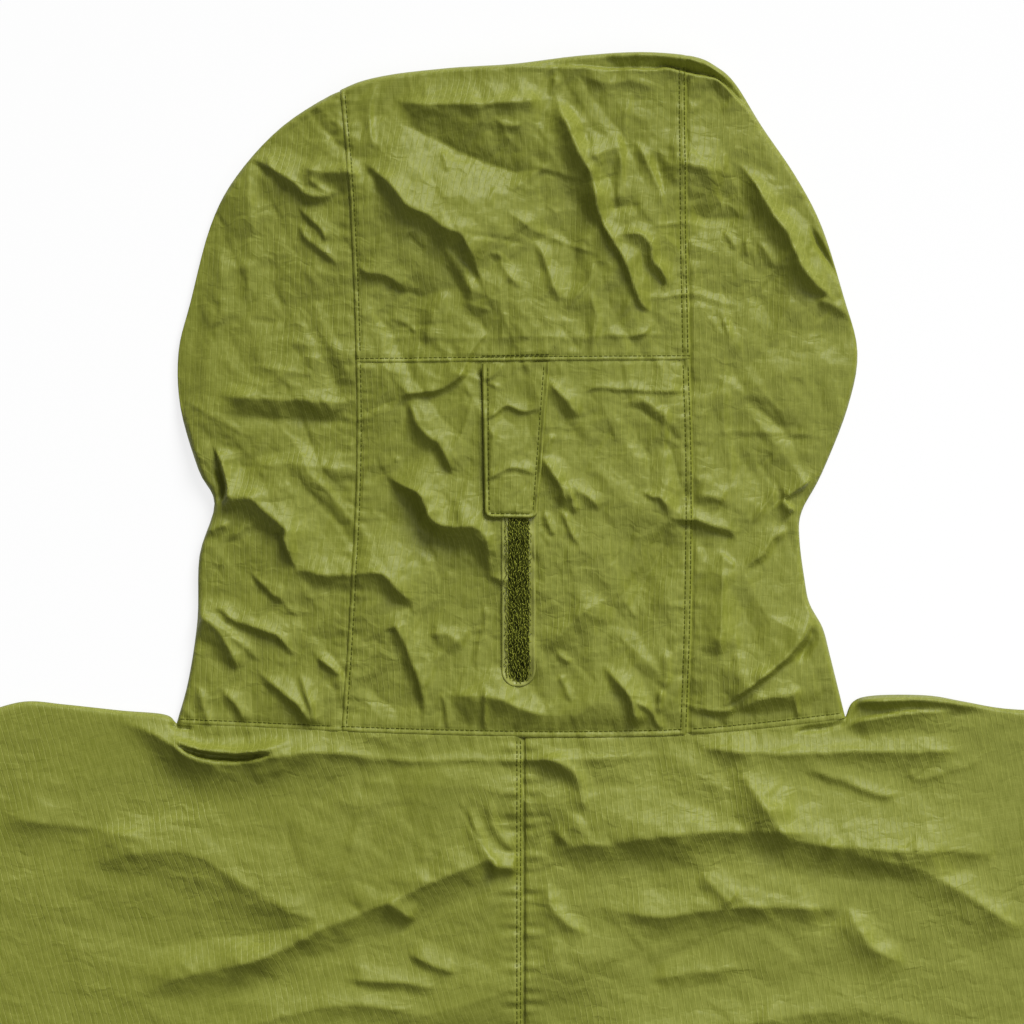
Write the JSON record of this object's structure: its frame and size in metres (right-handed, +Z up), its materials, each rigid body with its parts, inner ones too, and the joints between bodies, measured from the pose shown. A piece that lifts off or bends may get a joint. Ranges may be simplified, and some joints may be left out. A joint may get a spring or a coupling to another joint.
{
  "type": "mountain parka",
  "caption": "Hooded ripstop shell parka laid flat on its front, with a three-panel hood, an adjuster tab over loop tape, set-in sleeves and a front zip.",
  "frame": {"origin": "centre of the bounding box, on the surface that the parka lies on", "axes": "+Z up from the surface, out of the back of the parka; +Y from the hem to the top of the hood; +X towards the wearer's right"},
  "size_m": [1.321, 1.0626, 0.0242],
  "materials": {
    "shell": "crinkled ripstop nylon with a soft satin sheen",
    "loop": "looped pile of a hook-and-loop tape",
    "zip_tape": "woven polyester tape",
    "zip_coil": "nylon coil",
    "zip_metal": "dark enamelled zinc"
  },
  "bodies": {
    "garment": {"hood_nape": "shell", "hood_crown": "shell", "hood_side_left": "shell", "hood_side_right": "shell", "hood_tab": "shell", "loop_tape": "loop", "tab_hook": "loop", "back_left": "shell", "back_right": "shell", "front_left": "shell", "front_right": "shell", "sleeve_left": "shell", "sleeve_right": "shell", "zip_tape_left": "zip_tape", "zip_tape_right": "zip_tape", "zip_chain": "zip_coil", "zip_slider": "zip_metal"},
    "zip_pull": {"zip_pull": "zip_metal"}
  },
  "joints": [
    {"name": "pull_swing", "type": "hinge", "parent": "garment", "child": "zip_pull", "pos_m": [0, 0.1887, 0.0014], "axis": [1, 0, 0], "range_deg": [0, 170]}
  ]
}
